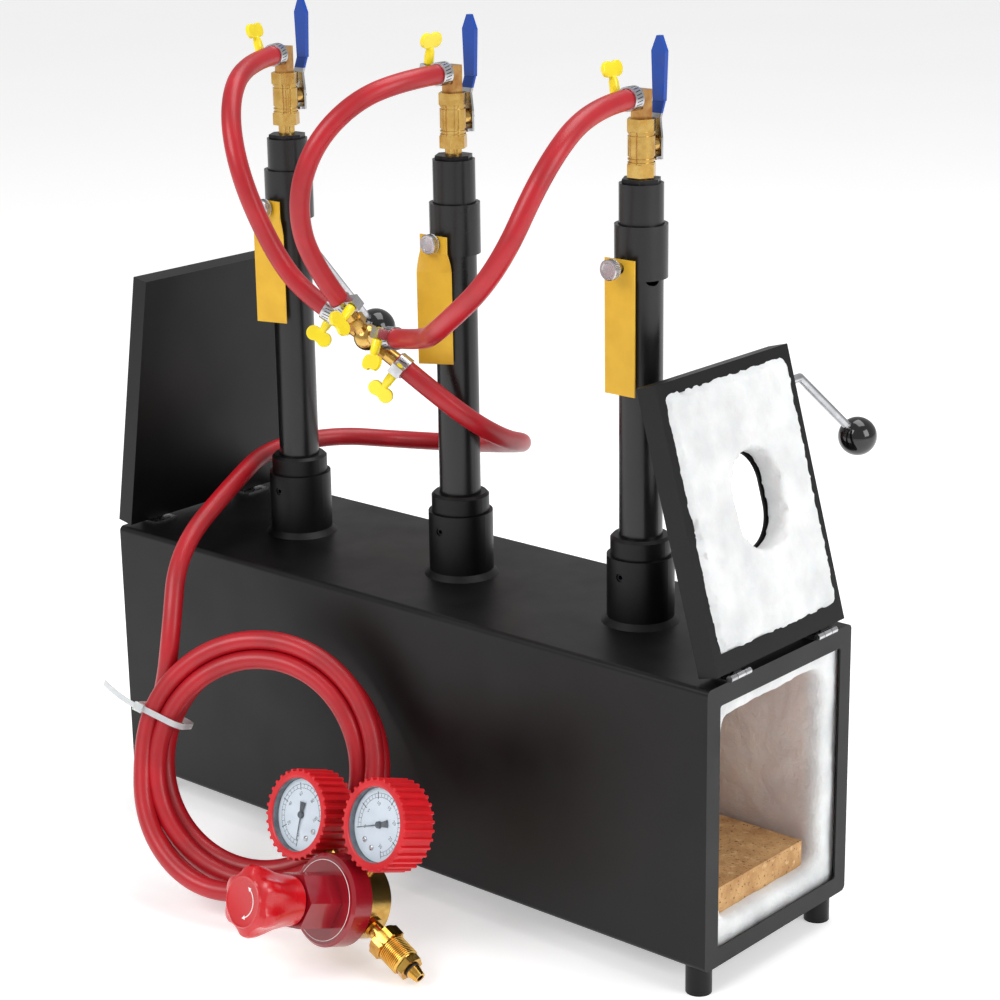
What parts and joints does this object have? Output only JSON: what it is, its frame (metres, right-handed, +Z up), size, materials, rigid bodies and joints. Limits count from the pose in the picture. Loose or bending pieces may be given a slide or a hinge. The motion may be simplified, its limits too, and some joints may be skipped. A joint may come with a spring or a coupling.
{
  "type": "gas forge",
  "caption": "Portable blacksmith's gas forge: lined casing with hinged doors at both ends, venturi burners on top, hoses, and a coiled lead to a pressure regulator with gauges.",
  "frame": {"origin": "centre of the plane of the four feet", "axes": "+X along the casing towards the front door, +Z up, -Y towards the hoses and the regulator"},
  "size_m": [0.575, 0.4786, 0.6258],
  "materials": {
    "black_powder_coat": "satin black powder coat",
    "ceramic_wool": "white ceramic fibre, matte",
    "firebrick": null,
    "dark_steel": "dark oxide",
    "brass": "turned, bright",
    "blue_grip": "dipped vinyl on a plated lever",
    "bright_steel": "zinc plated",
    "yellow_tag": "plain card",
    "yellow_key": "glossy",
    "red_hose": "satin red welding hose",
    "clear_nylon": "translucent nylon",
    "maroon_enamel": "gloss enamel",
    "red_knob": "semi-gloss",
    "grey_needle": "satin",
    "red_boot": "moulded rubber",
    "clear_lens": "clear"
  },
  "bodies": {
    "forge": {"casing_shell": "black_powder_coat", "end_frames": "black_powder_coat", "feet": "black_powder_coat", "chamber_lining": "ceramic_wool", "fire_bricks": "firebrick", "burner_sockets": "black_powder_coat", "grub_screws": "dark_steel", "burner_collars": "black_powder_coat", "mixing_tubes": "black_powder_coat", "tube_caps": "dark_steel", "gas_jets": "brass", "valve_bodies": "brass", "hose_elbows": "brass", "hose_clamp_bands": "bright_steel", "manifold": "brass", "branch_hose_1": "red_hose", "branch_hose_2": "red_hose", "branch_hose_3": "red_hose", "feed_hose": "red_hose", "outlet_hose": "red_hose", "hose_coil": "red_hose", "cable_tie": "clear_nylon", "hinge_fixed_leaves": "bright_steel", "regulator_body": "brass", "regulator_bonnet": "maroon_enamel", "adjusting_spring": "dark_steel", "inlet_nipple": "brass", "gauge_cases": "bright_steel", "gauge_boots": "red_boot", "gauge_lenses": "clear_lens"},
    "front_door": {"front_door_pan": "black_powder_coat", "front_door_lining": "ceramic_wool", "front_handle": "bright_steel"},
    "rear_door": {"rear_door_pan": "black_powder_coat", "rear_door_lining": "ceramic_wool", "rear_handle": "bright_steel"},
    "choke_1_body": {"choke_1": "black_powder_coat"},
    "choke_screw_1_body": {"choke_screw_1": "bright_steel"},
    "tag_1_body": {"tag_1": "yellow_tag"},
    "valve_lever_1_body": {"valve_lever_1": "blue_grip"},
    "burner_key_1_body": {"burner_key_1": "yellow_key"},
    "choke_2_body": {"choke_2": "black_powder_coat"},
    "choke_screw_2_body": {"choke_screw_2": "bright_steel"},
    "tag_2_body": {"tag_2": "yellow_tag"},
    "valve_lever_2_body": {"valve_lever_2": "blue_grip"},
    "burner_key_2_body": {"burner_key_2": "yellow_key"},
    "choke_3_body": {"choke_3": "black_powder_coat"},
    "choke_screw_3_body": {"choke_screw_3": "bright_steel"},
    "tag_3_body": {"tag_3": "yellow_tag"},
    "valve_lever_3_body": {"valve_lever_3": "blue_grip"},
    "burner_key_3_body": {"burner_key_3": "yellow_key"},
    "manifold_key_1_body": {"manifold_key_1": "yellow_key"},
    "manifold_key_2_body": {"manifold_key_2": "yellow_key"},
    "manifold_key_3_body": {"manifold_key_3": "yellow_key"},
    "manifold_key_4_body": {"manifold_key_4": "yellow_key"},
    "outlet_key_body": {"outlet_key": "yellow_key"},
    "adjusting_knob_body": {"adjusting_knob": "red_knob"},
    "inlet_nut_body": {"inlet_nut": "brass"},
    "gauge_needle_1_body": {"gauge_needle_1": "grey_needle"},
    "gauge_needle_2_body": {"gauge_needle_2": "grey_needle"}
  },
  "joints": [
    {"name": "front_door_hinge", "type": "hinge", "parent": "forge", "child": "front_door", "pos_m": [0.2852, 0, 0.2243], "axis": [0, -1, 0], "range_deg": [-195.5, 0]},
    {"name": "rear_door_hinge", "type": "hinge", "parent": "forge", "child": "rear_door", "pos_m": [-0.2852, 0, 0.2243], "axis": [0, 1, 0], "range_deg": [-189.7, 0]},
    {"name": "choke_1_slide", "type": "slide", "parent": "forge", "child": "choke_1_body", "axis": [0, 0, 1], "range_m": [-0.008, 0.022]},
    {"name": "choke_screw_1_turn", "type": "hinge", "parent": "choke_1_body", "child": "choke_screw_1_body", "pos_m": [-0.1655, 0, 0.477], "axis": [0, -1, 0], "continuous": true},
    {"name": "tag_1_swing", "type": "hinge", "parent": "choke_1_body", "child": "tag_1_body", "pos_m": [-0.1655, 0, 0.477], "axis": [0, -1, 0], "range_deg": [-15, 15]},
    {"name": "valve_lever_1_turn", "type": "hinge", "parent": "forge", "child": "valve_lever_1_body", "pos_m": [-0.1655, 0, 0.5558], "axis": [0, 1, 0], "range_deg": [0, 90]},
    {"name": "choke_2_slide", "type": "slide", "parent": "forge", "child": "choke_2_body", "axis": [0, 0, 1], "range_m": [-0.0006, 0.03]},
    {"name": "choke_screw_2_turn", "type": "hinge", "parent": "choke_2_body", "child": "choke_screw_2_body", "pos_m": [0, 0, 0.4696], "axis": [0, -1, 0], "continuous": true},
    {"name": "tag_2_swing", "type": "hinge", "parent": "choke_2_body", "child": "tag_2_body", "pos_m": [0, 0, 0.4696], "axis": [0, -1, 0], "range_deg": [-15, 15]},
    {"name": "valve_lever_2_turn", "type": "hinge", "parent": "forge", "child": "valve_lever_2_body", "pos_m": [0, 0, 0.5538], "axis": [0, 1, 0], "range_deg": [0, 90]},
    {"name": "choke_3_slide", "type": "slide", "parent": "forge", "child": "choke_3_body", "axis": [0, 0, 1], "range_m": [-0.004, 0.026]},
    {"name": "choke_screw_3_turn", "type": "hinge", "parent": "choke_3_body", "child": "choke_screw_3_body", "pos_m": [0.1655, 0, 0.473], "axis": [0, -1, 0], "continuous": true},
    {"name": "tag_3_swing", "type": "hinge", "parent": "choke_3_body", "child": "tag_3_body", "pos_m": [0.1655, 0, 0.473], "axis": [0, -1, 0], "range_deg": [-15, 15]},
    {"name": "valve_lever_3_turn", "type": "hinge", "parent": "forge", "child": "valve_lever_3_body", "pos_m": [0.1655, 0, 0.5498], "axis": [0, 1, 0], "range_deg": [0, 90]},
    {"name": "burner_key_1_turn", "type": "hinge", "parent": "forge", "child": "burner_key_1_body", "pos_m": [-0.17383, -0.01425, 0.58489], "axis": [-0.2504, -0.0653, 0.9659], "continuous": true},
    {"name": "burner_key_2_turn", "type": "hinge", "parent": "forge", "child": "burner_key_2_body", "pos_m": [-0.01182, -0.0115, 0.58808], "axis": [0.1736, 0, 0.9848], "continuous": true},
    {"name": "burner_key_3_turn", "type": "hinge", "parent": "forge", "child": "burner_key_3_body", "pos_m": [0.15368, -0.0115, 0.57992], "axis": [-0.1736, 0, 0.9848], "continuous": true},
    {"name": "manifold_key_1_turn", "type": "hinge", "parent": "forge", "child": "manifold_key_1_body", "pos_m": [-0.06233, -0.05979, 0.41867], "axis": [-0.3465, -0.4687, -0.8125], "continuous": true},
    {"name": "manifold_key_2_turn", "type": "hinge", "parent": "forge", "child": "manifold_key_2_body", "pos_m": [-0.02555, -0.07745, 0.4333], "axis": [0.0997, -0.8368, -0.5384], "continuous": true},
    {"name": "manifold_key_3_turn", "type": "hinge", "parent": "forge", "child": "manifold_key_3_body", "pos_m": [-0.00338, -0.07671, 0.41449], "axis": [0.0297, -0.4188, -0.9076], "continuous": true},
    {"name": "manifold_key_4_turn", "type": "hinge", "parent": "forge", "child": "manifold_key_4_body", "pos_m": [-0.00317, -0.06024, 0.3857], "axis": [-0.5509, -0.2404, -0.7992], "continuous": true},
    {"name": "outlet_key_turn", "type": "hinge", "parent": "forge", "child": "outlet_key_body", "pos_m": [0.00905, -0.19305, 0.02241], "axis": [0.0568, -0.7805, 0.6226], "continuous": true},
    {"name": "adjusting_knob_turn", "type": "hinge", "parent": "forge", "child": "adjusting_knob_body", "pos_m": [0.051, -0.182, 0.042], "axis": [-0.106, -0.9451, 0.309], "range_deg": [0, 1800]},
    {"name": "inlet_nut_turn", "type": "hinge", "parent": "forge", "child": "inlet_nut_body", "pos_m": [0.051, -0.182, 0.042], "axis": [0.903, -0.0605, -0.4253], "continuous": true},
    {"name": "gauge_needle_1_turn", "type": "hinge", "parent": "forge", "child": "gauge_needle_1_body", "pos_m": [0.00211, -0.16245, 0.08502], "axis": [0.106, 0.9451, -0.309], "range_deg": [0, 270], "stiffness_Nm_per_rad": 0.0002},
    {"name": "gauge_needle_2_turn", "type": "hinge", "parent": "forge", "child": "gauge_needle_2_body", "pos_m": [0.08095, -0.16609, 0.10095], "axis": [0.106, 0.9451, -0.309], "range_deg": [0, 270], "stiffness_Nm_per_rad": 0.0002}
  ]
}
